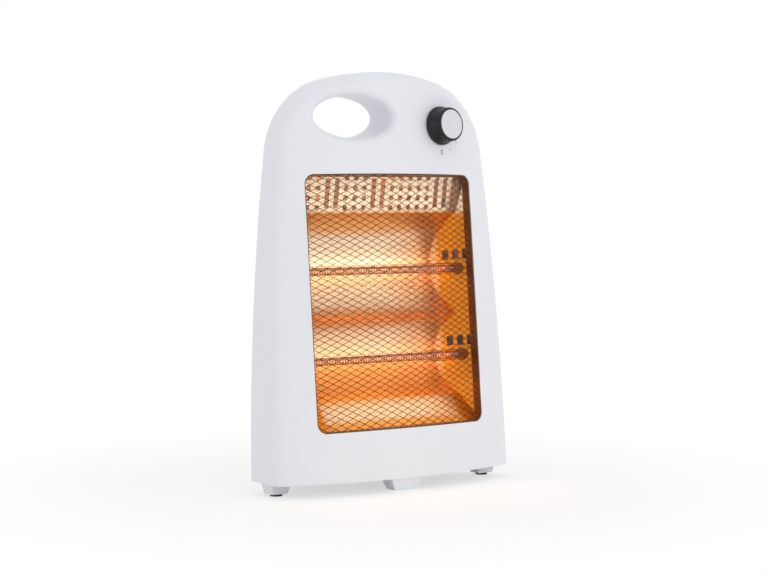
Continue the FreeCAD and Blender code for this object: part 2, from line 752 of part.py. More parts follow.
hollow = across(trough + [line(rim_low, rim_top)])
TUBE_HOLE = size("tube_diameter + 2 * tube_clearance")
SLOTS = 3
end_cuts = []
for height in TUBES.values():
    end_cuts.append(bore(at(-REACH, TUBE_Y, height, X_AXIS), TUBE_HOLE, 2 * REACH))
    for count in range(SLOTS):
        slot_y = TUBE_Y + (count - (SLOTS - 1) / 2) * size("end_slot_pitch") - size("end_slot_width / 2")
        end_cuts.append(Part.makeBox(2 * REACH, size("end_slot_width"), size("end_slot_height"),
                                     V(-REACH, slot_y, height + size("end_slot_rise"))))
lip_low = rim_low.z + size("flange_width")
lip_high = rim_top.z - size("flange_width")
lip = Part.makeBox(size("flange_width - end_gap"), size("sheet"), lip_high - lip_low,
                   V(END_X, FLANGE_BACK, lip_low))
end_plate = hollow.common(between(lambda y: end_x(y) - SHEET_X, end_x)).fuse(lip).cut(end_cuts)
modelled("reflector_end_right", end_plate, LEAN)
modelled("reflector_end_left", end_plate.mirror(V(0, 0, 0), X_AXIS), LEAN)

# Quartz tubes, their coils, ceramic caps and terminals
TUBE_END = "window_width / 2 + end_gap + sheet + tube_overhang"
CAP_FLOOR = "tube_overhang + sheet"


def biarc(start, start_dir, end, end_dir):
    """Two arcs that leave along one direction and arrive along another."""
    chord = end - start
    both = start_dir + end_dir
    spread = 2 * (1 - start_dir.dot(end_dir))
    reach = chord.dot(both)
    length = (math.sqrt(reach * reach + spread * chord.dot(chord)) - reach) / spread
    first = start + start_dir * length
    last = end - end_dir * length
    joint = (first + last) * 0.5
    edges = []
    for a, corner, b in ((start, first, joint), (joint, last, end)):
        middle = (a + b) * 0.5
        half = (b - a).Length / 2
        rise = (corner - middle).Length
        sag = half * math.tan(math.atan2(rise, half) / 2)
        edges.append(arc(a, middle + (corner - middle) * (sag / rise), b))
    return edges


def winding(radius, pitch, turns):
    """Points and directions of a helix about Z, two to a turn, centred on the origin."""
    stops = []
    for k in range(2 * turns + 1):
        angle = math.pi * k
        place = V(radius * math.cos(angle), radius * math.sin(angle), pitch * (k / 2 - turns / 2))
        heading = V(-radius * math.sin(angle), radius * math.cos(angle), pitch / (2 * math.pi)).normalize()
        stops.append((place, heading))
    return stops


def wire_tube(edges, diameter, label):
    """Unbroken six-sided wire along a path, with the least gap between its turns printed."""
    path = Part.Wire(edges)
    start = edges[0].valueAt(edges[0].FirstParameter)
    heading = edges[0].tangentAt(edges[0].FirstParameter)
    spoke = heading.cross(X_AXIS if abs(heading.x) < abs(heading.z) else Z_AXIS).normalize() * (diameter / 2)
    corners = [start + FreeCAD.Rotation(heading, 60 * k).multVec(spoke) for k in range(6)]
    ring = Part.makePolygon(corners + corners[:1])
    shell = Part.BRepOffsetAPI.MakePipeShell(path)
    shell.add(ring)
    shell.build()
    shell.makeSolid()
    solid = shell.shape()
    step = diameter / 4
    points = path.discretize(Distance=step)
    apart = int(math.pi * diameter / step)
    least = min((a - b).Length for i, a in enumerate(points) for b in points[i + apart::3])
    print(label, "least gap", round(least - diameter, 2), "volume ratio",
          round(solid.Volume / (path.Length * Part.Face(ring).Area), 4))
    return solid


def coil_path(radius, pitch, turns, bend, half_length):
    """Helix whose two ends bend into straight leads along the axis."""
    stops = winding(radius, pitch, turns)
    first, first_dir = stops[0]
    last, last_dir = stops[-1]
    lead_angle = math.pi / 3
    lead_in = V(radius * math.cos(lead_angle), -radius * math.sin(lead_angle), first.z - bend)
    lead_out = V(radius * math.cos(lead_angle), radius * math.sin(lead_angle), last.z + bend)
    edges = [line(V(lead_in.x, lead_in.y, -half_length), lead_in)]
    edges += biarc(lead_in, Z_AXIS, first, first_dir)
    for (a, a_dir), (b, b_dir) in zip(stops, stops[1:]):
        edges += biarc(a, a_dir, b, b_dir)
    edges += biarc(last, last_dir, lead_out, Z_AXIS)
    edges.append(line(lead_out, V(lead_out.x, lead_out.y, half_length)))
    return edges


TURNS = int(size("coil_turns"))
coil_edges = coil_path(size("coil_diameter / 2"), size("coil_length / coil_turns"), TURNS,
                       size("coil_lead_bend"), size(TUBE_END) - size("seat_gap"))
coil = wire_tube(coil_edges, size("coil_wire"), "heating coil")
pins = []
for level, height in TUBES.items():
    along = LEAN.multiply(at(0, TUBE_Y, height, X_AXIS))
    turned("quartz_tube_" + level, [
        ("tube_bore / 2", f"0 - ( {TUBE_END} )"),
        ("tube_diameter / 2", f"0 - ( {TUBE_END} )"),
        ("tube_diameter / 2", TUBE_END),
        ("tube_bore / 2", TUBE_END),
    ], along)
    modelled("heating_coil_" + level, coil, along)
    for side, name in ((-1, "left"), (1, "right")):
        place = LEAN.multiply(at(side * PLATE_X, TUBE_Y, height, X_AXIS * side))
        turned(f"tube_cap_{level}_{name}", [
            ("tube_diameter / 2 + cap_clearance", "0"),
            ("cap_diameter / 2", "0"),
            ("cap_diameter / 2", "cap_length"),
            ("terminal_diameter / 2 + cap_clearance", "cap_length"),
            ("terminal_diameter / 2 + cap_clearance", CAP_FLOOR),
            ("tube_diameter / 2 + cap_clearance", CAP_FLOOR),
        ], place)
        disc_place = place.multiply(at(0, 0, size("tube_overhang")))
        disc = primitive("Cylinder", f"disc_{level}_{name}", disc_place,
                         Radius="tube_bore / 2", Height="sheet")
        pin = primitive("Cylinder", f"pin_{level}_{name}", disc_place, Radius="terminal_diameter / 2",
                        Height="cap_length - tube_overhang + terminal_length")
        pins.append(fuse(f"terminal_{level}_{name}", disc, pin))
node("tube_terminals", group("tube_terminals", pins))
cutout_y = FLANGE_BACK + size("sheet + cutout_diameter / 2 + seat_gap")
cutout_out = V(DEEP - FLANGE_BACK, size("end_splay"), 0)
cutout_place = at(end_x(cutout_y) + size("seat_gap"), cutout_y, ridge.z, cutout_out)
node("thermal_cutout", primitive("Cylinder", "cutout", LEAN.multiply(cutout_place),
                                 Radius="cutout_diameter / 2", Height="cutout_length"))

# Rotary switch behind the face, its shaft and screws, and the hollow knob with its cap
switch_back = SWITCH_FRONT - size("switch_length")
switch_case = primitive("Cylinder", "switch_case", on_knob(0, 0, switch_back),
                        Radius="switch_diameter / 2", Height="switch_length")
switch_bore = primitive("Cylinder", "switch_bore", on_knob(0, 0, switch_back),
                        Radius="shaft_diameter / 2 + shaft_clearance", Height="switch_length")
switch_drills = [primitive("Cylinder", f"switch_drill_{side}",
                           on_knob((side - 0.5) * size("switch_screw_spacing"), 0, switch_back),
                           Radius="screw_diameter / 2 + screw_clearance", Height="switch_length")
                 for side in (0, 1)]
node("rotary_switch_body", cut("rotary_switch", switch_case, switch_bore, *switch_drills))
screws("switch_screws", [on_knob((side - 0.5) * size("switch_screw_spacing"), 0, 0) for side in (0, 1)],
       "screw_length")
SOCKET_TOP = "knob_gap + knob_length - knob_wall"
SHAFT_R = "shaft_diameter / 2 + shaft_clearance"
node("switch_shaft", primitive("Cylinder", "shaft", on_knob(0, 0, switch_back), Radius="shaft_diameter / 2",
                               Height=f"{SOCKET_TOP} - seat_gap - ( {switch_back} )"))
SKIRT_IN = "knob_base_diameter / 2 - knob_wall"
SKIRT_TOP = "knob_gap + knob_skirt"
CAP_SEAT = "knob_gap + knob_length - cap_disc_thickness + guard_gap / 2"
CAP_HOLE = "cap_disc_diameter / 2 + shaft_clearance"
turned("knob", [
    (SHAFT_R, "knob_gap + knob_wall"),
    (SKIRT_IN, "knob_gap + knob_wall"),
    (SKIRT_IN, "knob_gap"),
    ("knob_base_diameter / 2", "knob_gap"),
    ("knob_base_diameter / 2", SKIRT_TOP),
    ("knob_base_diameter / 2 - cap_disc_thickness", f"{SKIRT_TOP} + knob_gap"),
    ("knob_rim_diameter / 2", "knob_gap + knob_length"),
    (CAP_HOLE, "knob_gap + knob_length"),
    (CAP_HOLE, CAP_SEAT),
    ("0", CAP_SEAT),
    ("0", SOCKET_TOP),
    (SHAFT_R, SOCKET_TOP),
], KNOB)
node("knob_cap", primitive("Cylinder", "cap_disc", on_knob(0, 0, size(CAP_SEAT)),
                           Radius="cap_disc_diameter / 2", Height="cap_disc_thickness"))

# Tip-over plunger, its spring, and the switch on a bracket over it
FLANGE_Z = BASE_TOP + size("plunger_travel + 3 * seat_gap")
SPRING_Z = FLANGE_Z + size("plunger_flange")
BRACKET_Z = SPRING_Z + size("spring_length")
TIP = (size("plunger_tip_width"), size("plunger_tip_depth"))
STEM = (size("plunger_width"), size("plunger_depth"))
PLUNGER_FLANGE = (size("plunger_width + 2 * plunger_lip"), size("plunger_depth + plunger_lip"))
POST_TOP = BRACKET_Z + size("plunger_travel + plunger_lip")
plunger = frustum(0, PLUNGER_Y, 0, FLOOR_TO_BODY, TIP, STEM).fuse([
    frustum(0, PLUNGER_Y, FLOOR_TO_BODY, FLANGE_Z, STEM, STEM),
    frustum(0, PLUNGER_Y + size("plunger_lip / 2"), FLANGE_Z, SPRING_Z, PLUNGER_FLANGE, PLUNGER_FLANGE),
    bore(at(0, PLUNGER_Y, FLANGE_Z), size("post_diameter"), POST_TOP - FLANGE_Z),
])
modelled("plunger", plunger.removeSplitter())
SPRING_TURNS = int(size("spring_turns"))
spring_rise = size("spring_length - 2 * spring_wire - 2 * seat_gap")
stops = winding(size("( spring_diameter - spring_wire ) / 2"), spring_rise / SPRING_TURNS, SPRING_TURNS)
spring_edges = [line(stops[0][0] - stops[0][1] * size("spring_wire"), stops[0][0])]
for (a, a_dir), (b, b_dir) in zip(stops, stops[1:]):
    spring_edges += biarc(a, a_dir, b, b_dir)
spring_edges.append(line(stops[-1][0], stops[-1][0] + stops[-1][1] * size("spring_wire")))
spring = wire_tube(spring_edges, size("spring_wire"), "plunger spring")
modelled("plunger_spring", spring, at(0, PLUNGER_Y, (SPRING_Z + BRACKET_Z) / 2))

SHEET = size("bracket_sheet")
BRACKET_X = size("bracket_width / 2")
BRACKET_DEEP = size("plunger_depth + plunger_lip")
feet = []
BRACKET_Y = PLUNGER_Y - size("plunger_depth / 2")
TAB = size("bracket_tab")
for side in (-1, 1):
    outer_x = side * BRACKET_X
    leg_x = min(outer_x, outer_x - side * SHEET)
    tab_x = min(outer_x, outer_x + side * TAB)
    feet.append(Part.makeBox(SHEET, BRACKET_DEEP, BRACKET_Z - BASE_TOP, V(leg_x, BRACKET_Y, BASE_TOP)))
    feet.append(Part.makeBox(TAB, BRACKET_DEEP, SHEET, V(tab_x, BRACKET_Y, BASE_TOP)))
bracket = Part.makeBox(2 * BRACKET_X, BRACKET_DEEP, SHEET, V(-BRACKET_X, BRACKET_Y, BRACKET_Z))
holes = [bore(at(0, PLUNGER_Y, 0), size("post_diameter + 2 * plunger_clearance"), REACH)]
holes += [bore(at(x, y, 0), PILOT_D, BRACKET_Z - SHEET) for x, y in BRACKET_SCREWS]
modelled("tip_switch_bracket", bracket.fuse(feet).cut(holes).removeSplitter())
screws("bracket_screws", [at(x, y, BASE_TOP + SHEET) for x, y in BRACKET_SCREWS], "bracket_sheet + wall")
MICRO_Y = PLUNGER_Y + size("plunger_depth / 2 + seat_gap")
BUTTON_X = size("micro_width / 5")
BUTTON_LOW = SPRING_Z + size("button_gap")
BUTTON_HIGH = BRACKET_Z - size("micro_height / 2") - size("plunger_clearance")
micro_case = primitive("Box", "micro_case",
                       FreeCAD.Placement(V(-size("micro_width / 2"), MICRO_Y - size("micro_depth / 2"),
                                           BRACKET_Z - size("micro_height")), FreeCAD.Rotation()),
                       Length="micro_width", Width="micro_depth", Height="micro_height")
micro_bore = primitive("Cylinder", "micro_bore", at(BUTTON_X, MICRO_Y, BRACKET_Z - size("micro_height")),
                       Radius="button_diameter / 2 + shaft_clearance", Height="micro_height / 2")
node("tip_switch_body", cut("tip_switch", micro_case, micro_bore))
button = primitive("Cylinder", "button", at(BUTTON_X, MICRO_Y, BUTTON_LOW), Radius="button_diameter / 2",
                   Height=f"{BUTTON_HIGH - BUTTON_LOW}")
node("tip_switch_button", button)

# Cord gland in the back wall, and the screws of shells, base and reflector
GLAND_Z = FLOOR_TO_BODY + size("gland_up")
turned("cord_gland", [
    ("gland_bore / 2", "0 - gland_flange"),
    ("gland_diameter / 2 + gland_flange", "0 - gland_flange"),
    ("gland_diameter / 2 + gland_flange", "0"),
    ("gland_diameter / 2", "0"),
    ("gland_diameter / 2", "wall"),
    ("gland_bore / 2", "wall"),
], at(size("gland_x"), HALF_DEPTH - WALL, GLAND_Z, Y_AXIS))
screws("shell_screws", [at(x, RIM_Y, z, Y_AXIS) for x, z in SHELL_SCREWS], "rim_depth + screw_length - wall")
screws("base_screws", [at(x, y, BASE_BOTTOM, -Z_AXIS) for x, y in BASE_SCREWS], "screw_length")
screws("reflector_screws",
       [LEAN.multiply(at(x, FLANGE_BACK + size("sheet"), z, Y_AXIS)) for x, z in REFLECTOR_SCREWS],
       "short_screw_length")

# Every object has to be sound before its sub-part is written
doc.recompute()
for obj in doc.Objects:
    if "Invalid" in obj.State or "Error" in obj.State:
        raise RuntimeError(f"{obj.Label}: {obj.State}")
os.makedirs("parts", exist_ok=True)
for label, obj in nodes.items():
    if obj.Shape.isNull() or not obj.Shape.isValid() or not obj.Shape.Solids:
        raise RuntimeError(f"{label} is no sound solid")
    obj.Shape.exportStep(f"parts/{label}.step")
    print(label, len(obj.Shape.Solids), "solid, volume", round(obj.Shape.Volume), "mm3")
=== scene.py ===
# %% [markdown]
# Quartz heater: looks
# The CAD model already holds every rigid piece at its true size, in metres, with the front towards -Y.
# This lesson dresses it: a camera and light first, then materials, then the fine pieces that a CAD solid
# keeps coarse on purpose (the wire guard, the wound coils and spring, the screws' heads, the ribbed knob),
# and last the dial's printed numbers.

# %% Load the frame
import json
import math
import bmesh
import bpy
from mathutils import Matrix, Vector


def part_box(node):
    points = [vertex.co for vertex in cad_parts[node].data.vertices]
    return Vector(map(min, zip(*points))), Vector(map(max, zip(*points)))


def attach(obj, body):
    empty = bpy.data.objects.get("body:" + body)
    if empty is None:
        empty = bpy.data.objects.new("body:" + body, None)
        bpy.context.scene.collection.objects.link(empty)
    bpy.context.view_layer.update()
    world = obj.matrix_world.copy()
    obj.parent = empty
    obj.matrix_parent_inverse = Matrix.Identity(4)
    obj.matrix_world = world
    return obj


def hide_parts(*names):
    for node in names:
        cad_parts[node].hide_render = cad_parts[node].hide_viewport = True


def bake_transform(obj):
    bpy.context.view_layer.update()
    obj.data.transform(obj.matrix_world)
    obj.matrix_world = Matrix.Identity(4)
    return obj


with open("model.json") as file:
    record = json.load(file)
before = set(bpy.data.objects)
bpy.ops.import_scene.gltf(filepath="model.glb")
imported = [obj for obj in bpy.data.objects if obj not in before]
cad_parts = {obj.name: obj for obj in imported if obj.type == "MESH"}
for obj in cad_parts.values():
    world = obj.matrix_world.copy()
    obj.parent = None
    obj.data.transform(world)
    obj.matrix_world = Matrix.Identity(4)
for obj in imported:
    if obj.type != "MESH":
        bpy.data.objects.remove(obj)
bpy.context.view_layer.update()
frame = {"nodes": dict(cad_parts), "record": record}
nodes = frame["nodes"]
scene = bpy.context.scene
scene.view_settings.view_transform = "Standard"
MM = 0.001

# %% [markdown]
# The face frame
# The front leans back and is bowed, so the guard and the dial are laid out in a frame of their own:
# x across, y into the body, z up along the face, from the lower front edge. One matrix then leans them.

# %% Face frame and bow
BODY_DEPTH = 108 * MM
FOOT_HEIGHT = 12 * MM
LEAN_ANGLE = math.radians(5.47)
BOW_RADIUS = 391 * MM
WINDOW_WIDTH = 183 * MM
WINDOW_LOW = 44.8 * MM
WINDOW_HEIGHT = 229.4 * MM
WINDOW_TOP = WINDOW_LOW + WINDOW_HEIGHT
FACE = Matrix.Translation((0, -BODY_DEPTH / 2, FOOT_HEIGHT)) @ Matrix.Rotation(-LEAN_ANGLE, 4, "X")


def bow(x, depth=0.0):
    """Depth of the bowed front at x, or of a surface that far behind it."""
    return BOW_RADIUS - math.sqrt((BOW_RADIUS - depth) ** 2 - x * x)


print("bow at the window's edge, mm:", round(bow(WINDOW_WIDTH / 2) / MM, 2))

# %% [markdown]
# Camera
# A long lens from the viewer's left, a little above the middle of the heater. Its place was worked out
# from the outline of the body, so the picture keeps the photograph's perspective without any lens shift.

# %% Camera
CAMERA_AT = Vector((-1021.1, -1458.6, 269.3)) * MM
LOOK_AT = Vector((-32.2, -55.15, 183.5)) * MM
FOCAL_PIXELS = 1944
IMAGE_WIDTH = 768
SENSOR = 36.0
camera_data = bpy.data.cameras.new("camera")
camera_data.sensor_fit = "HORIZONTAL"
camera_data.sensor_width = SENSOR
camera_data.lens = SENSOR * FOCAL_PIXELS / IMAGE_WIDTH
camera_data.clip_start = 0.05
camera = bpy.data.objects.new("camera", camera_data)
scene.collection.objects.link(camera)
camera.location = CAMERA_AT
camera.rotation_euler = (LOOK_AT - CAMERA_AT).to_track_quat("-Z", "Y").to_euler()
scene.camera = camera
print("lens in mm:", round(camera_data.lens, 1))

# %% [markdown]
# Colour and node helpers
# Colours are written as sRGB hex, as a colour picker gives them, and turned to the linear values that
# shaders use. One small function adds a node with its settings and links, so that each material below
# reads as a list.

# %% Colour and node helpers


def linear(hex_colour):
    """Linear RGBA of an sRGB hex colour."""
    channels = [int(hex_colour[i:i + 2], 16) / 255 for i in (1, 3, 5)]
    return [c / 12.92 if c <= 0.04045 else ((c + 0.055) / 1.055) ** 2.4 for c in channels] + [1.0]


def join(owner, node, **inputs):
    """Gives a node's inputs their values, or links where a value is another node's output.

    An input goes by its name, or by _ and its number where several share a name, as the Mix node's do.
    """
    for name, value in inputs.items():
        socket = node.inputs[int(name[1:])] if name[0] == "_" else node.inputs[name.replace("_", " ")]
        if isinstance(value, bpy.types.NodeSocket):
            owner.node_tree.links.new(value, socket)
        else:
            socket.default_value = value


def add(owner, kind, settings=None, **inputs):
    """Adds a node to a material or the world: settings are its properties, inputs its sockets."""
    node = owner.node_tree.nodes.new(kind)
    for key, value in (settings or {}).items():
        setattr(node, key, value)
    join(owner, node, **inputs)
    return node


def shader(name):
    """New material with its Principled shader."""
    material = bpy.data.materials.new(name)
    material.use_nodes = True
    return material, material.node_tree.nodes["Principled BSDF"]


def per_mm(size_mm):
    """Texture scale at which one feature of a pattern is about that many millimetres."""
    return 1 / (size_mm * MM)


print("linear value of mid grey:", round(linear("#808080")[0], 3))

# %% [markdown]
# Floor
# The heater stands on white paper. A plain white plane would end in a visible edge, so away from the
# heater the paper turns into plain white light and runs into the background. Near the heater it stays
# paper, and keeps the shadow.

# %% Floor
FLOOR_SIZE = 6.0
FLOOR_DROP = 0.2 * MM
SHADOW_NEAR = 0.18
SHADOW_FAR = 0.42
NEAR_WHITE = 0.56


def looked_at(owner):
    """1 where the background itself is looked at: by the camera, in a mirror or through glass."""
    rays = add(owner, "ShaderNodeLightPath").outputs
    direct = add(owner, "ShaderNodeMath", {"operation": "MAXIMUM"}, _0=rays["Is Camera Ray"],
                 _1=rays["Is Glossy Ray"])
    return add(owner, "ShaderNodeMath", {"operation": "MAXIMUM"}, _0=direct.outputs[0],
               _1=rays["Is Transmission Ray"]).outputs[0]


bpy.ops.mesh.primitive_plane_add(size=FLOOR_SIZE, location=(0, 0, -FLOOR_DROP))
floor = bpy.context.object
floor.name = "floor"
paper, paper_shader = shader("matt white paper")
join(paper, paper_shader, Base_Color=linear("#FDFDFD"), Roughness=0.9, Specular_IOR_Level=0.0)
floor_place = add(paper, "ShaderNodeTexCoord").outputs["Object"]
distance = add(paper, "ShaderNodeVectorMath", {"operation": "LENGTH"}, Vector=floor_place)
fade = add(paper, "ShaderNodeMapRange", Value=distance.outputs["Value"], From_Min=SHADOW_NEAR,
           From_Max=SHADOW_FAR, To_Min=NEAR_WHITE, To_Max=1.0)
share = add(paper, "ShaderNodeMath", {"operation": "MULTIPLY"}, _0=fade.outputs["Result"],
            _1=looked_at(paper))
white = add(paper, "ShaderNodeEmission", Strength=1.0)
shown = add(paper, "ShaderNodeMixShader", _0=share.outputs[0], _1=paper_shader.outputs[0],
            _2=white.outputs[0])
join(paper, paper.node_tree.nodes["Material Output"], Surface=shown.outputs[0])
floor.data.materials.append(paper)
print("paper is all white from, mm:", round(SHADOW_FAR / MM))

# %% [markdown]
# World
# A white room all round does most of the lighting, evenly and with no hard shadow. What is looked at is
# pure white, and what lights the heater is a little less, so that its pale shells don't clip.

# %% World
WORLD_LIGHT = 0.81
world = bpy.data.worlds.new("white room")
scene.world = world
world.use_nodes = True
strength = add(world, "ShaderNodeMapRange", Value=looked_at(world), To_Min=WORLD_LIGHT, To_Max=1.0)
join(world, world.node_tree.nodes["Background"], Strength=strength.outputs["Result"], Color=(1, 1, 1, 1))
print("world light:", WORLD_LIGHT)

# %% [markdown]
# Lamps
# Large soft lamps in front, above and at the side give the body its gentle shading. Area lamps are used
# because their size, not only their power, sets how soft the shading is.

# %% Lamps
BODY_MIDDLE = (0, 0, 0.19)
# Place, side of the square and watts of each lamp.
SOFTBOXES = {
    "front softbox": ((0.9, -2.0, 0.8), 1.6, 8),
    "top softbox": ((-0.3, 0.3, 2.2), 1.6, 2),
    "side softbox": ((-2.2, 0.35, 0.6), 1.0, 2),
}


def lamp(name, place, target, width, height, watts, colour="#FFFFFF"):
    """Rectangular soft lamp aimed at a point."""
    data = bpy.data.lights.new(name, "AREA")
    data.shape = "RECTANGLE"
    data.size = width
    data.size_y = height
    data.energy = watts
    data.color = linear(colour)[:3]
    obj = bpy.data.objects.new(name, data)
    scene.collection.objects.link(obj)
    obj.location = place
    obj.rotation_euler = (Vector(target) - Vector(place)).to_track_quat("-Z", "Y").to_euler()
    return obj


for lamp_name, (lamp_at, lamp_side, lamp_watts) in SOFTBOXES.items():
    lamp(lamp_name, lamp_at, BODY_MIDDLE, lamp_side, lamp_side, lamp_watts)
print("lamps:", len(bpy.data.lights))

# %% [markdown]
# Moulded plastics
# The shells are injection-moulded ABS with a fine spark texture: satin, slightly cool white, with a tint
# that drifts a little from place to place. One noise draws the grain, as a small bump and as a change of
# gloss, and a large one the drift. The real grain is about a tenth of a millimetre, too fine to show, so
# it is drawn coarser. Other colours and grains of this recipe give the rubber pads and the acetal plunger.

# %% Moulded plastics
DRIFT_MM = 60
GRAIN_GLOSS = 0.06
GRAIN_DEEP = 0.1 * MM
PLASTIC_IOR = 1.53


def moulded(name, colour, shade, roughness, grain_mm=0.7, bump=0.05, specular=0.5):
    """Satin moulded surface with a fine grain and a slow drift of tint."""
    material, surface = shader(name)
    place = add(material, "ShaderNodeTexCoord").outputs["Object"]
    drift = add(material, "ShaderNodeTexNoise", Vector=place, Scale=per_mm(DRIFT_MM), Detail=3.0)
    tint = add(material, "ShaderNodeMix", {"data_type": "RGBA"}, Factor=drift.outputs["Fac"],
               _6=linear(colour), _7=linear(shade))
    grain = add(material, "ShaderNodeTexNoise", Vector=place, Scale=per_mm(grain_mm), Detail=2.0)
    gloss = add(material, "ShaderNodeMapRange", Value=grain.outputs["Fac"],
                To_Min=roughness - GRAIN_GLOSS, To_Max=roughness + GRAIN_GLOSS)
    relief = add(material, "ShaderNodeBump", Height=grain.outputs["Fac"], Strength=bump, Distance=GRAIN_DEEP)
    join(material, surface, Base_Color=tint.outputs[2], Roughness=gloss.outputs["Result"],
         Normal=relief.outputs["Normal"], IOR=PLASTIC_IOR, Specular_IOR_Level=specular)
    return material


white_abs = moulded("satin white moulded ABS", "#E8E9EE", "#E3E4EA", 0.42)
base_abs = moulded("pale moulded ABS", "#E9EAEF", "#E2E3E9", 0.48)
black_abs = moulded("black moulded ABS", "#0E0E11", "#16161A", 0.26, 0.5, 0.08, specular=0.3)
switch_pbt = moulded("dark moulded PBT", "#19191B", "#222224", 0.55)
pad_rubber = moulded("black moulded rubber", "#1A1A1A", "#232323", 0.75, 0.9, 0.15)
# The plunger's acetal is whiter than the shells, as painted light that lifts its shade under the body.
lightened_acetal = moulded("white acetal with painted light", "#FAFBFE", "#F4F5F9", 0.35)
print("plastics:", white_abs.name, base_abs.name, black_abs.name)

# %% [markdown]
# Metals
# The reflector is bright rolled aluminium, whose rolling lines vary its gloss; its warm cream colour is
# painted glow of the hot coils. Screws, bracket and pins are zinc-plated steel with a cloudy sheen, and the
# knob's cap is spun and lacquered. The guard is steel wire under a dark heat-proof enamel. A lower metallic
# share stands for a thin skin of oxide, enamel or lacquer. Real rolling lines are too fine to show, so they
# are drawn about a millimetre apart. The guard's frame is enamelled steel whose dark brown is painted shade
# and glow on the window's inner wall; it takes the moulded recipe: it has a grain and no lines.

# %% Metals
LINE_SQUEEZE = 0.02
CLOUD_MM = 30
LINE_GLOSS = 0.08
LINE_DEEP = 0.05 * MM


def rolled(name, colour, shade, roughness, line_mm=0.8, bump=0.06, metallic=1.0):
    """Sheet metal with fine rolling lines along x, which vary its gloss, and a cloudy tint."""
    material, surface = shader(name)
    place = add(material, "ShaderNodeTexCoord").outputs["Object"]
    along = add(material, "ShaderNodeMapping", Vector=place, Scale=(LINE_SQUEEZE, 1.0, 1.0))
    lines = add(material, "ShaderNodeTexNoise", Vector=along.outputs["Vector"], Scale=per_mm(line_mm),
                Detail=3.0)
    cloud = add(material, "ShaderNodeTexNoise", Vector=place, Scale=per_mm(CLOUD_MM), Detail=2.0)
    tint = add(material, "ShaderNodeMix", {"data_type": "RGBA"}, Factor=cloud.outputs["Fac"],
               _6=linear(colour), _7=linear(shade))
    gloss = add(material, "ShaderNodeMapRange", Value=lines.outputs["Fac"],
                To_Min=roughness - LINE_GLOSS, To_Max=roughness + LINE_GLOSS)
    relief = add(material, "ShaderNodeBump", Height=lines.outputs["Fac"], Strength=bump, Distance=LINE_DEEP)
    join(material, surface, Base_Color=tint.outputs[2], Roughness=gloss.outputs["Result"],
         Normal=relief.outputs["Normal"], Metallic=metallic)
    return material


# The sheet's warm cream colours are painted glow of the hot coils on bright aluminium.
bright_aluminium = rolled("bright aluminium with painted glow", "#FFEFD8", "#FCE4C4", 0.24, bump=0.015,
                          metallic=0.75)
zinc_steel = rolled("zinc plated steel", "#B9BABD", "#A3A5A8", 0.36, 2.0)
silver_cap = rolled("spun silver cap", "#DADBE0", "#CFD0D6", 0.34, 1.0, metallic=0.35)
enamel_wire = rolled("dark enamelled steel wire", "#0E0805", "#180E08", 0.62, 1.5, metallic=0.2)
# The guard frame's dark brown is painted shade of the window's inner wall, with painted glow.
shade_brown_steel = moulded("dark brown steel with painted shade", "#6A3A18", "#4C2A11", 0.4, 0.5, 0.06)
print("metals:", bright_aluminium.name, zinc_steel.name, enamel_wire.name, shade_brown_steel.name)

# %% [markdown]
# Painted glow of the folds
# The light of the red-hot coils is painted on the bright aluminium as straw and orange colour. It follows
# the
# folds: pale, as painted highlight, in the two hollows round the tubes and on the hems, and orange, as
# painted glow and shade, along the ridge and the two folds. The folds run straight across, so a ramp over
# the height places them.

# %% Painted glow of the folds
# Share of painted orange glow by height in mm.
GLOW_SHARES = {56: 1.0, 61: 0.9, 64: 0.4, 74: 0.45, 81: 0.95, 106: 0.85, 116: 0.4, 124: 0.1, 140: 0.15, 151: 0.8,
         158: 0.7, 166: 0.15, 186: 0.05, 195: 0.4, 203: 0.05, 224: 0.15, 235: 0.85, 249: 0.9, 252: 0.14}
TONE_TOP = 300
sheet_place = add(bright_aluminium, "ShaderNodeTexCoord").outputs["Object"]
sheet_axes = add(bright_aluminium, "ShaderNodeSeparateXYZ", Vector=sheet_place).outputs
tone_level = add(bright_aluminium, "ShaderNodeMath", {"operation": "DIVIDE"}, _0=sheet_axes["Z"],
                 _1=TONE_TOP * MM)
tone_ramp = add(bright_aluminium, "ShaderNodeValToRGB", Fac=tone_level.outputs[0])
stops = tone_ramp.color_ramp.elements
for count, (tone_height, tone) in enumerate(GLOW_SHARES.items()):
    stop = stops[count] if count < 2 else stops.new(tone_height / TONE_TOP)
    stop.position = tone_height / TONE_TOP
    stop.color = (tone, tone, tone, 1)
print("heat tone stops:", len(stops))

# %% [markdown]
# Painted glow of the ends
# The slotted ends are painted orange all over, as glow and shade, and the painted orange grows from the
# middle to the end away from the camera. The perforated strip at the top stays pale. The stronger of the two
# painted shares wins, and the sheet's own rolled colour shows where there is none.

# %% Painted glow of the ends
END_FROM = 68 * MM
END_FULL = 76 * MM
FAR_TONE = 0.75
STRIP_EDGE = 252 * MM
STRIP_FADE = 246 * MM
off_middle = add(bright_aluminium, "ShaderNodeMath", {"operation": "ABSOLUTE"}, _0=sheet_axes["X"])
ends = add(bright_aluminium, "ShaderNodeMapRange", Value=off_middle.outputs[0], From_Min=END_FROM,
           From_Max=END_FULL)
far = add(bright_aluminium, "ShaderNodeMapRange", Value=sheet_axes["X"], From_Min=0.0, From_Max=END_FROM,
          To_Max=FAR_TONE)
under_strip = add(bright_aluminium, "ShaderNodeMapRange", Value=sheet_axes["Z"], From_Min=STRIP_EDGE,
                  From_Max=STRIP_FADE)
sideways = add(bright_aluminium, "ShaderNodeMath", {"operation": "MAXIMUM"}, _0=ends.outputs["Result"],
               _1=far.outputs["Result"])
end_tone = add(bright_aluminium, "ShaderNodeMath", {"operation": "MULTIPLY"}, _0=sideways.outputs[0],
               _1=under_strip.outputs["Result"])
toned = add(bright_aluminium, "ShaderNodeMath", {"operation": "MAXIMUM"}, _0=tone_ramp.outputs["Color"],
            _1=end_tone.outputs[0])
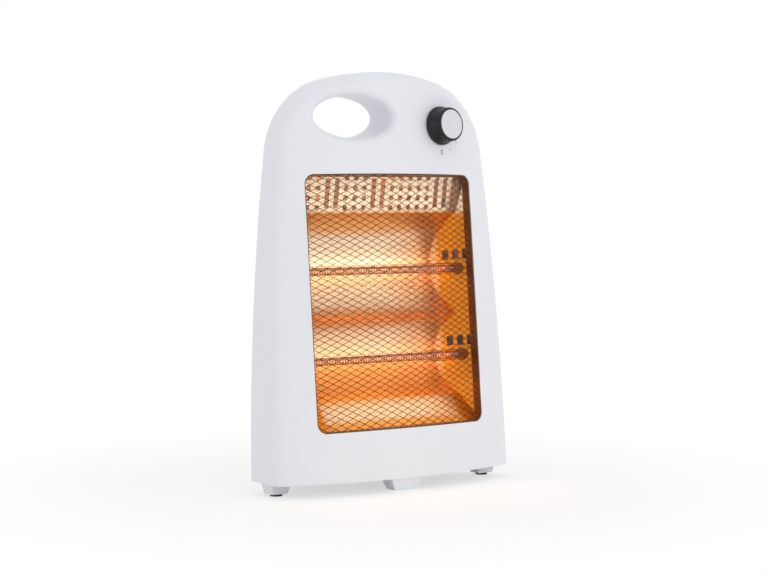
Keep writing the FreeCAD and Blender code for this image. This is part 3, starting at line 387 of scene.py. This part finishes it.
# Colours of the painted orange glow and shade on the reflector.
glow_orange = add(bright_aluminium, "ShaderNodeMix", {"data_type": "RGBA"}, Factor=end_tone.outputs[0],
             _6=linear("#F8A64A"), _7=linear("#F08E20"))
sheet_shader = bright_aluminium.node_tree.nodes["Principled BSDF"]
pale = sheet_shader.inputs["Base Color"].links[0].from_socket
glow_mix = add(bright_aluminium, "ShaderNodeMix", {"data_type": "RGBA"}, Factor=toned.outputs[0],
               _6=pale, _7=glow_orange.outputs[2])
join(bright_aluminium, sheet_shader, Base_Color=glow_mix.outputs[2])
print("ends are all orange from, mm:", round(END_FULL / MM))

# %% [markdown]
# Quartz and ceramic
# The tubes are drawn fused quartz, faintly milky with fine drawing lines: clear glass whose roughness
# changes in long streaks. Their end caps are unglazed steatite, matt and slightly grainy.

# %% Quartz and ceramic
QUARTZ_IOR = 1.46
DRAW_SQUEEZE = 0.03
STREAK_MM = 1.5
HAZE_LEAST = 0.03
HAZE_MOST = 0.16
quartz, quartz_shader = shader("drawn fused quartz")
quartz_place = add(quartz, "ShaderNodeTexCoord").outputs["Object"]
drawn = add(quartz, "ShaderNodeMapping", Vector=quartz_place, Scale=(DRAW_SQUEEZE, 1.0, 1.0))
streaks = add(quartz, "ShaderNodeTexNoise", Vector=drawn.outputs["Vector"], Scale=per_mm(STREAK_MM),
              Detail=2.0)
haze = add(quartz, "ShaderNodeMapRange", Value=streaks.outputs["Fac"], To_Min=HAZE_LEAST, To_Max=HAZE_MOST)
join(quartz, quartz_shader, Base_Color=linear("#FBF1E4"), Roughness=haze.outputs["Result"],
     Transmission_Weight=1.0, IOR=QUARTZ_IOR)
steatite = moulded("unglazed steatite ceramic", "#E9E3D8", "#D8D0C2", 0.7, 0.6, 0.2)
print("tube and caps:", quartz.name, steatite.name)

# %% [markdown]
# Hot wire
# The coil is resistance wire at a dull orange heat. It gives its own light, in a tone that wanders along
# the coil. The light is kept low, so that the turns still show as separate wires.

# %% Hot wire
COIL_GLOW = 0.35
HEAT_MM = 12
hot_wire, hot_shader = shader("glowing resistance wire")
hot_place = add(hot_wire, "ShaderNodeTexCoord").outputs["Object"]
heat = add(hot_wire, "ShaderNodeTexNoise", Vector=hot_place, Scale=per_mm(HEAT_MM), Detail=2.0)
heat_tone = add(hot_wire, "ShaderNodeMix", {"data_type": "RGBA"}, Factor=heat.outputs["Fac"],
                _6=linear("#D8641C"), _7=linear("#F08A3A"))
join(hot_wire, hot_shader, Base_Color=linear("#4A2A18"), Metallic=1.0, Roughness=0.5,
     Emission_Color=heat_tone.outputs[2], Emission_Strength=COIL_GLOW)
print("coil emission:", COIL_GLOW)

# %% [markdown]
# Dressing the CAD nodes
# Every CAD node keeps its shape and gets the finish of the real piece, by the record's own material slots.
# Two nodes have a finish of their own: the guard's frame, dark brown as painted shade, and the plunger,
# whiter than the shells as painted light against its shade under the body.

# %% Materials by slot
FINISHES = {
    "body_plastic": white_abs,
    "base_plastic": base_abs,
    "knob_plastic": black_abs,
    "cap_plastic": silver_cap,
    "foot_rubber": pad_rubber,
    "guard_steel": enamel_wire,
    "reflector_sheet": bright_aluminium,
    "quartz": quartz,
    "coil_wire": hot_wire,
    "cap_ceramic": steatite,
    "zinc_steel": zinc_steel,
    "switch_plastic": switch_pbt,
}
# The frame's dark brown is painted shade; the plunger's extra whiteness is painted light.
OWN_FINISHES = {"guard_frame": shade_brown_steel, "plunger": lightened_acetal}
for part in frame["record"]["subparts"]:
    materials = nodes[part["node"]].data.materials
    materials.clear()
    materials.append(OWN_FINISHES.get(part["node"], FINISHES[part["material_slot"]]))
print("dressed CAD nodes:", len(nodes))

# %% [markdown]
# Finishing a piece
# Each new piece is one mesh built in a bmesh. It ends with its object at the origin and its place in the
# mesh, as a CAD node's is, takes a finish, and rides on the body that carries it. One helper does this for
# all, and prints the piece's faces.

# %% Helper that finishes a piece


def finish_piece(bm, name, material, body=None, place=None, smooth=True):
    """Turns a bmesh into a finished piece, on a body unless it stretches between two."""
    if place is not None:
        bmesh.ops.transform(bm, matrix=place, verts=bm.verts)
    mesh = bpy.data.meshes.new(name)
    bm.to_mesh(mesh)
    bm.free()
    for polygon in mesh.polygons:
        polygon.use_smooth = smooth
    mesh.materials.append(material)
    obj = bpy.data.objects.new(name, mesh)
    scene.collection.objects.link(obj)
    if body:
        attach(obj, body)
    print(name, "faces:", len(mesh.polygons))
    return obj


# %% [markdown]
# Growing a wire
# Guard, coils and spring are all wire. A bevelled curve would give a tube too, but a small disc that is
# grown in bmesh gives exact ends and few faces. It is extruded along points for a straight wire, or spun
# round an axis for a wound one: the screw form of spin turns the disc and moves it along at once.

# %% Helpers that grow a wire


def verts_of(geom):
    """The vertices among an operator's results."""
    return [g for g in geom if isinstance(g, bmesh.types.BMVert)]


def edges_of(geom):
    """The edges among an operator's results."""
    return [g for g in geom if isinstance(g, bmesh.types.BMEdge)]


def disc(bm, radius, sides, place):
    """Closed end of a wire: its vertices and its edges."""
    verts = bmesh.ops.create_circle(bm, cap_ends=True, segments=sides, radius=radius, matrix=place)["verts"]
    return verts, list({edge for vert in verts for edge in vert.link_edges})


def rod(bm, points, radius, sides):
    """Sweeps a disc along points by extruding its edges from one point to the next."""
    heading = (points[1] - points[0]).normalized()
    turned = heading.to_track_quat("Z", "Y").to_matrix().to_4x4()
    edges = disc(bm, radius, sides, Matrix.Translation(points[0]) @ turned)[1]
    for here, there in zip(points, points[1:]):
        grown = bmesh.ops.extrude_edge_only(bm, edges=edges)["geom"]
        edges = edges_of(grown)
        bmesh.ops.translate(bm, vec=there - here, verts=verts_of(grown))
    bmesh.ops.edgeloop_fill(bm, edges=edges)


def wind(bm, place, radius, sides, centre, axis, rise, turns, turn_steps):
    """Winds a wire round an axis, from its disc at a place to a closed end that far along."""
    verts, edges = disc(bm, radius, sides, place)
    steps = turn_steps * turns
    wound = bmesh.ops.spin(bm, geom=list(verts) + edges, cent=centre, axis=axis, angle=2 * math.pi * turns,
                           steps=steps, dvec=Vector(axis) * (rise / steps))
    bmesh.ops.edgeloop_fill(bm, edges=edges_of(wound["geom_last"]))


# %% [markdown]
# Wire guard
# The real guard is a net of thin straight wires that cross in long diamonds and reach the frame on all
# four sides. Each wire is a slim rod along its own line, laid on the bow so that it stays just behind the
# front. The wires of one slope lie behind those of the other, as on a real net.

# %% Wire guard
CELL_WIDTH = 11.4 * MM
CELL_HEIGHT = 5.7 * MM
WIRE_RADIUS = 0.28 * MM
WIRE_SIDES = 6
WIRE_STEPS = 10
GUARD_DEPTH = 1.3 * MM
SECOND_DEPTH = GUARD_DEPTH + 1.6 * WIRE_RADIUS
EDGE_INSET = 1.3 * MM
NET_HALF = WINDOW_WIDTH / 2 - EDGE_INSET
NET_LOW = WINDOW_LOW + EDGE_INSET
NET_HIGH = WINDOW_TOP - EDGE_INSET
NET_SLOPE = CELL_HEIGHT / CELL_WIDTH


def guard_wire(bm, start_z, rise, depth):
    """One wire: its line through x = 0 at start_z, clipped to the window and bent to the bow."""
    crossings = sorted(((NET_LOW - start_z) / rise, (NET_HIGH - start_z) / rise))
    x_from = max(-NET_HALF, crossings[0])
    x_to = min(NET_HALF, crossings[1])
    if x_to - x_from < CELL_HEIGHT:
        return 0
    steps = max(2, int(WIRE_STEPS * (x_to - x_from) / WINDOW_WIDTH))
    xs = [x_from + (x_to - x_from) * k / steps for k in range(steps + 1)]
    rod(bm, [Vector((x, bow(x, depth), start_z + rise * x)) for x in xs], WIRE_RADIUS, WIRE_SIDES)
    return 1


bm = bmesh.new()
wires = 0
rows = int((WINDOW_HEIGHT + WINDOW_WIDTH * NET_SLOPE) / CELL_HEIGHT) + 2
net_middle = (NET_LOW + NET_HIGH) / 2
for k in range(-rows // 2, rows // 2 + 1):
    wires += guard_wire(bm, net_middle + k * CELL_HEIGHT, NET_SLOPE, GUARD_DEPTH)
    wires += guard_wire(bm, net_middle + k * CELL_HEIGHT, -NET_SLOPE, SECOND_DEPTH)
guard = finish_piece(bm, "guard_wires", enamel_wire, "housing", FACE)
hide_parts("guard_mesh")
print("wires:", wires)

# %% [markdown]
# Heating coils
# Each tube holds one long coil of thin wire, wound round the tube's axis, with a straight lead at both
# ends. It is wound at the origin, along x, and then moved into its tube.

# %% Heating coils
TUBE_DEPTH = 31.5 * MM
TUBE_HEIGHTS = {"upper": 188.6 * MM, "lower": 107.9 * MM}
COIL_RADIUS = 3.1 * MM
COIL_WIRE = 0.55 * MM
COIL_SIDES = 6
COIL_LENGTH = 186 * MM
COIL_TURNS = 66
COIL_STEPS = 16
LEAD_END = 107 * MM
LEAD_RADIUS = 0.3 * COIL_RADIUS
for level, tube_height in TUBE_HEIGHTS.items():
    bm = bmesh.new()
    coil_start = Matrix.Translation((-COIL_LENGTH / 2, COIL_RADIUS, 0))
    wind(bm, coil_start, COIL_WIRE, COIL_SIDES, (0, 0, 0), (1, 0, 0), COIL_LENGTH, COIL_TURNS, COIL_STEPS)
    for end in (-1, 1):
        lead = [Vector((end * COIL_LENGTH / 2, COIL_RADIUS, 0)), Vector((end * LEAD_END, LEAD_RADIUS, 0))]
        rod(bm, lead, COIL_WIRE, COIL_SIDES)
    bmesh.ops.recalc_face_normals(bm, faces=bm.faces)
    tube_axis = FACE @ Matrix.Translation((0, TUBE_DEPTH, tube_height))
    coil = finish_piece(bm, "coil_" + level, hot_wire, "housing", tube_axis)
    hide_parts("heating_coil_" + level)

# %% [markdown]
# Plunger spring
# The tip-over plunger is pushed down by a light coil spring. It is wound like the heating coils, upright,
# and fills the box of the spring's CAD solid, from the plunger up under the switch's bracket. In the real
# heater it stretches between the two, so it rides on neither body.

# %% Plunger spring
SPRING_RADIUS = 4.5 * MM
SPRING_WIRE = 0.5 * MM
SPRING_SIDES = 10
SPRING_TURNS = 5
SPRING_STEPS = 32
spring_low, spring_high = (Vector(corner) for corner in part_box("plunger_spring"))
spring_axis = (spring_low + spring_high) / 2
spring_rise = spring_high.z - spring_low.z - 2 * SPRING_WIRE
spring_foot = (spring_axis.x + SPRING_RADIUS, spring_axis.y, spring_low.z + SPRING_WIRE)
spring_start = Matrix.Translation(spring_foot) @ Matrix.Rotation(math.pi / 2, 4, "X")
bm = bmesh.new()
wind(bm, spring_start, SPRING_WIRE, SPRING_SIDES, spring_axis, (0, 0, 1), spring_rise, SPRING_TURNS,
     SPRING_STEPS)
bmesh.ops.recalc_face_normals(bm, faces=bm.faces)
spring = finish_piece(bm, "plunger_spring_wound", zinc_steel)
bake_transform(spring)
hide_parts("plunger_spring")
print("spring rise in mm:", round(spring_rise / MM, 2))

# %% [markdown]
# Places of the screws
# The shells and the base are held by zinc-plated pan-head screws. The CAD solids give each screw's place,
# size and length. One node holds several screws as loose triangles, so a copy of it is merged and split
# into the parts that hang together.

# %% Places of the screws
WELD = 0.001 * MM
SCREW_NODES = {"shell_screws": Vector((0, 1, 0)), "base_screws": Vector((0, 0, -1))}


def islands(mesh):
    """Groups of vertex places that hang together: one group for each screw of a node."""
    copy = bmesh.new()
    copy.from_mesh(mesh)
    bmesh.ops.remove_doubles(copy, verts=copy.verts, dist=WELD)
    left = set(copy.verts)
    found = []
    while left:
        front = [left.pop()]
        group = []
        while front:
            vert = front.pop()
            group.append(vert.co.copy())
            near = {edge.other_vert(vert) for edge in vert.link_edges} & left
            left -= near
            front += near
        found.append(group)
    copy.free()
    return found


screw_groups = {node: islands(nodes[node].data) for node in SCREW_NODES}
print("screws:", {node: len(groups) for node, groups in screw_groups.items()})

# %% [markdown]
# One screw
# A pan head has a cross recess, a rounded rim, a flank and a flat underside on its shank. A small grid
# gives the cross, whose cells are sunk. The grid's edge, pulled out to a circle and then down, gives all
# the rest in one skin, with no cut to close.

# %% One screw
RECESS_CELLS = 5
RECESS_SHARE = 0.62
RECESS_DEEP = 1.0 * MM
HEAD_ROUND = 0.82
ROUND_DROP = 0.35


def cross_head(bm, place, head_radius, head_height, shank_radius, length):
    """One screw, its head's top at z = 0 and its shank down along -z, then moved to its place."""
    half = head_radius * RECESS_SHARE
    grid = bmesh.ops.create_grid(bm, x_segments=RECESS_CELLS, y_segments=RECESS_CELLS, size=half)["verts"]
    faces = list({face for vert in grid for face in vert.link_faces})
    edges = list({edge for face in faces for edge in face.edges if edge.is_boundary})
    arm = half / RECESS_CELLS
    cross = [f for f in faces if min(abs(c) for c in f.calc_center_median().xy) < arm]
    sunk = verts_of(bmesh.ops.extrude_face_region(bm, geom=cross)["geom"])
    bmesh.ops.delete(bm, geom=cross, context="FACES")
    bmesh.ops.translate(bm, vec=(0, 0, -RECESS_DEEP), verts=sunk)
    made = {vert for vert in grid if vert.is_valid} | set(sunk)
    for radius, drop in ((head_radius * HEAD_ROUND, 0), (head_radius, ROUND_DROP * head_height),
                         (head_radius, head_height), (shank_radius, head_height), (shank_radius, length)):
        grown = bmesh.ops.extrude_edge_only(bm, edges=edges)["geom"]
        edges = edges_of(grown)
        for vert in verts_of(grown):
            vert.co = vert.co.xy.normalized().to_3d() * radius + Vector((0, 0, -drop))
            made.add(vert)
    bmesh.ops.edgeloop_fill(bm, edges=edges)
    bmesh.ops.transform(bm, matrix=place, verts=list(made))


print("cross recess in mm:", RECESS_DEEP / MM)

# %% [markdown]
# All screws
# Each screw is measured along the way that its head faces: the head's top, the tip, the head's underside
# and the two radii. Then it is drawn at that size, in the solid's place.

# %% All screws
TIP_BAND = 0.05 * MM
RIM_SHARE = 0.95
for node, outwards in SCREW_NODES.items():
    upright = outwards.to_track_quat("Z", "Y").to_matrix().to_4x4()
    bm = bmesh.new()
    for group in screw_groups[node]:
        reach = [co.dot(outwards) for co in group]
        top, tip = max(reach), min(reach)
        centre = Vector([(min(c) + max(c)) / 2 for c in zip(*group)])
        head_top = centre - outwards * (centre.dot(outwards) - top)
        off_axis = [(co - head_top - outwards * (co - head_top).dot(outwards)).length for co in group]
        head = max(off_axis)
        shank = min(off for off, along in zip(off_axis, reach) if along < tip + TIP_BAND)
        under = min(along for off, along in zip(off_axis, reach) if off > RIM_SHARE * head)
        cross_head(bm, Matrix.Translation(head_top) @ upright, head, top - under, shank, top - tip)
    bmesh.ops.recalc_face_normals(bm, faces=bm.faces)
    screws = finish_piece(bm, node + "_crossed", zinc_steel, "housing", smooth=False)
    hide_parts(node)

# %% [markdown]
# Glow of the tubes
# A hot coil lights its reflector much more than a picture can show without burning out. The coil keeps a
# modest glow of its own, and a row of small warm lamps behind each tube throws the rest of the light on
# the reflector. Two faint ones behind the perforated strip let its holes show the warm inside of the
# housing. None of them is itself in the picture.

# %% Glow lamps
GLOW_COLOUR = "#FFD2A0"
GLOW_WATTS = 0.0125
GLOW_LAMPS = 14
GLOW_SPAN = 0.85 * COIL_LENGTH
GLOW_DEPTH = TUBE_DEPTH + 9 * MM
LEAK_COLOUR = "#FF8A30"
LEAK_WATTS = 0.012
LEAK_X = 40 * MM
LEAK_DEPTH = 52 * MM
LEAK_HEIGHT = WINDOW_TOP - 12 * MM
BULB_RADIUS = 5 * MM


def unseen(obj, *rays):
    """Hides a lamp from kinds of rays, so that only its light is seen."""
    for ray in rays:
        setattr(obj, "visible_" + ray, False)


def bulb(name, place, watts, colour):
    """Small round lamp at a place of the face frame."""
    data = bpy.data.lights.new(name, "POINT")
    data.energy = watts
    data.color = linear(colour)[:3]
    data.shadow_soft_size = BULB_RADIUS
    obj = bpy.data.objects.new(name, data)
    scene.collection.objects.link(obj)
    obj.location = FACE @ Vector(place)
    unseen(obj, "camera", "glossy", "transmission")


for level, tube_height in TUBE_HEIGHTS.items():
    for k in range(GLOW_LAMPS):
        glow_x = GLOW_SPAN * ((k + 0.5) / GLOW_LAMPS - 0.5)
        bulb(f"glow {level} {k}", (glow_x, GLOW_DEPTH, tube_height), GLOW_WATTS, GLOW_COLOUR)
for end in (-1, 1):
    bulb(f"leak {end}", (end * LEAK_X, LEAK_DEPTH, LEAK_HEIGHT), LEAK_WATTS, LEAK_COLOUR)
print("glow lamps:", GLOW_LAMPS * len(TUBE_HEIGHTS))

# %% [markdown]
# Fill lamps
# The perforated strip and the lower hem are lit from the front by what the whole window gives back. Two
# slim area lamps close to the guard stand for that light.

# %% Fill lamps
FILL_WIDTH = 160 * MM
FILL_HEIGHT = 8 * MM
FILL_DEPTH = 7 * MM
# Height and aim in the face frame, watts and colour of each lamp.
FILLS = {
    "strip fill": (WINDOW_TOP - 25 * MM, (0, 30 * MM, WINDOW_TOP - 17 * MM), 0.03, "#FFE2BC"),
    "hem fill": (WINDOW_LOW + 40 * MM, (0, 20 * MM, WINDOW_LOW), 0.07, "#FFD8A4"),
}
for fill_name, (fill_up, fill_aim, fill_watts, fill_colour) in FILLS.items():
    fill = lamp(fill_name, FACE @ Vector((0, FILL_DEPTH, fill_up)), FACE @ Vector(fill_aim), FILL_WIDTH,
                FILL_HEIGHT, fill_watts, fill_colour)
    unseen(fill, "camera", "glossy")
print("fill lamps:", len(FILLS))

# %% [markdown]
# Knob
# The knob is a round skirt with a finely ribbed grip that narrows towards a light cap. Its half section is
# drawn once and spun, which gives a round body with no seam. The ribs come from drawing every second
# column of the grip in a little.

# %% Knob
KNOB_X = 55.7 * MM
KNOB_UP = 318.8 * MM
KNOB_TURN = math.asin(KNOB_X / BOW_RADIUS)
KNOB_RIBS = 60
RIB_DEPTH = 0.35 * MM
GRIP_LOW = 3.7 * MM
GRIP_HIGH = 14.6 * MM
GRIP_RADIUS = 15.3 * MM
# Radius and height of the half section in mm.
PROFILE = [(14.2, 0.5), (17.4, 0.5), (17.8, 0.9), (17.8, 2.7), (17.4, 3.1), (16.9, 3.3), (16.6, 3.8),
           (15.5, 14.4), (15.2, 15.1), (14.6, 15.5), (13.6, 15.5), (13.4, 15.2), (13.4, 14.4)]
KNOB = FACE @ Matrix.Translation((KNOB_X, bow(KNOB_X), KNOB_UP)) @ Matrix.Rotation(KNOB_TURN, 4, "Z") \
    @ Matrix.Rotation(math.pi / 2, 4, "X")
bm = bmesh.new()
section = [bm.verts.new((r * MM, 0, h * MM)) for r, h in PROFILE]
outline = [bm.edges.new(pair) for pair in zip(section, section[1:])]
bmesh.ops.spin(bm, geom=section + outline, cent=(0, 0, 0), axis=(0, 0, 1), angle=2 * math.pi,
               steps=2 * KNOB_RIBS, use_merge=True)
bmesh.ops.remove_doubles(bm, verts=bm.verts, dist=WELD)
bmesh.ops.recalc_face_normals(bm, faces=bm.faces)
for vert in bm.verts:
    column = round(math.atan2(vert.co.y, vert.co.x) / (math.pi / KNOB_RIBS))
    on_grip = vert.co.xy.length > GRIP_RADIUS and GRIP_LOW < vert.co.z < GRIP_HIGH
    if on_grip and column % 2:
        vert.co.xy *= 1 - RIB_DEPTH / vert.co.xy.length
knob = finish_piece(bm, "knob_ribbed", black_abs, "selector", KNOB)
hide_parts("knob")

# %% [markdown]
# Dial marks
# Printed marks sit on the face round the knob: the plain numbers of the three settings and a dot between
# them. Each number is text turned into a flat mesh, and a dot is a disc. All are laid on the bow, a hair
# above the shell, because ink that lay in the same plane would flicker.

# %% Dial marks
MARK_RADIUS = 24.5 * MM
FONT_SIZE = 7.0 * MM
DOT_RADIUS = 0.7 * MM
DOT_SIDES = 16
INK_LIFT = 0.06 * MM
# Places round the knob in degrees.
SETTINGS = {"0": -88, "1": -33, "2": 22}
DOTS = (-60, -5)
ink = moulded("grey printed ink", "#4A4A52", "#56565E", 0.6)


def round_knob(degrees):
    """Place of a mark in the knob's flat frame."""
    angle = math.radians(degrees)
    return Vector((MARK_RADIUS * math.cos(angle), MARK_RADIUS * math.sin(angle), INK_LIFT))


def on_face(bm):
    """Drops each vertex of a mark from the knob's flat frame to the bowed face."""
    for vert in bm.verts:
        vert.co.z -= vert.co.x ** 2 / (2 * BOW_RADIUS)


def number(text, degrees):
    """Mesh of one printed number, centred on its place round the knob."""
    curve = bpy.data.curves.new("number", "FONT")
    curve.body = text
    curve.size = FONT_SIZE
    curve.align_x = "CENTER"
    curve.align_y = "CENTER"
    holder = bpy.data.objects.new("number", curve)
    mesh = bpy.data.meshes.new_from_object(holder)
    bpy.data.objects.remove(holder)
    bm = bmesh.new()
    bm.from_mesh(mesh)
    bmesh.ops.translate(bm, vec=round_knob(degrees), verts=bm.verts)
    return bm


for text, degrees in SETTINGS.items():
    bm = number(text, degrees)
    on_face(bm)
    finish_piece(bm, "dial_number_" + text, ink, "housing", KNOB, smooth=False)
bm = bmesh.new()
for degrees in DOTS:
    disc(bm, DOT_RADIUS, DOT_SIDES, Matrix.Translation(round_knob(degrees)))
on_face(bm)
finish_piece(bm, "dial_dots", ink, "housing", KNOB, smooth=False)
